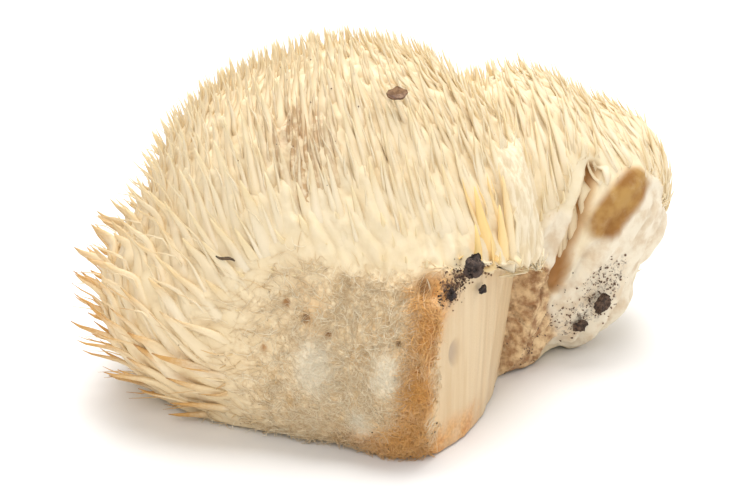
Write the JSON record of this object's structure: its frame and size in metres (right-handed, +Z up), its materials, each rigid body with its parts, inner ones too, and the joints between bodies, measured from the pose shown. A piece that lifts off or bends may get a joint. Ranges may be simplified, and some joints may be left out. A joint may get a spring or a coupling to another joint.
{
  "type": "lion's mane mushroom",
  "caption": "Whole lion's mane mushroom laid on its side: a shaggy cream dome of hanging spines with a smaller lobe behind, a felted back and a cut stem.",
  "frame": {"origin": "centre of the foot of the bounding box, on the surface that the mushroom lies on", "axes": "+Z up; +X towards the smaller lobe, along the length; -Y the side of the felted back and the cut stem"},
  "size_m": [0.201, 0.1462, 0.1229],
  "materials": {
    "flesh": "waxy, moist, slightly translucent cream flesh",
    "bark": "black, crumbly, matt",
    "soil": "dark brown, granular, matt",
    "dead_leaf": "dry reddish brown, dull",
    "wood": "dark, weathered, matt"
  },
  "bodies": {
    "root": {"fruiting_body": "flesh", "bark_chip": "bark", "bark_crumb_1": "bark", "bark_crumb_2": "bark", "soil_clod_1": "soil", "soil_clod_2": "soil", "leaf_scrap": "dead_leaf", "wood_splinter": "wood"}
  },
  "joints": []
}
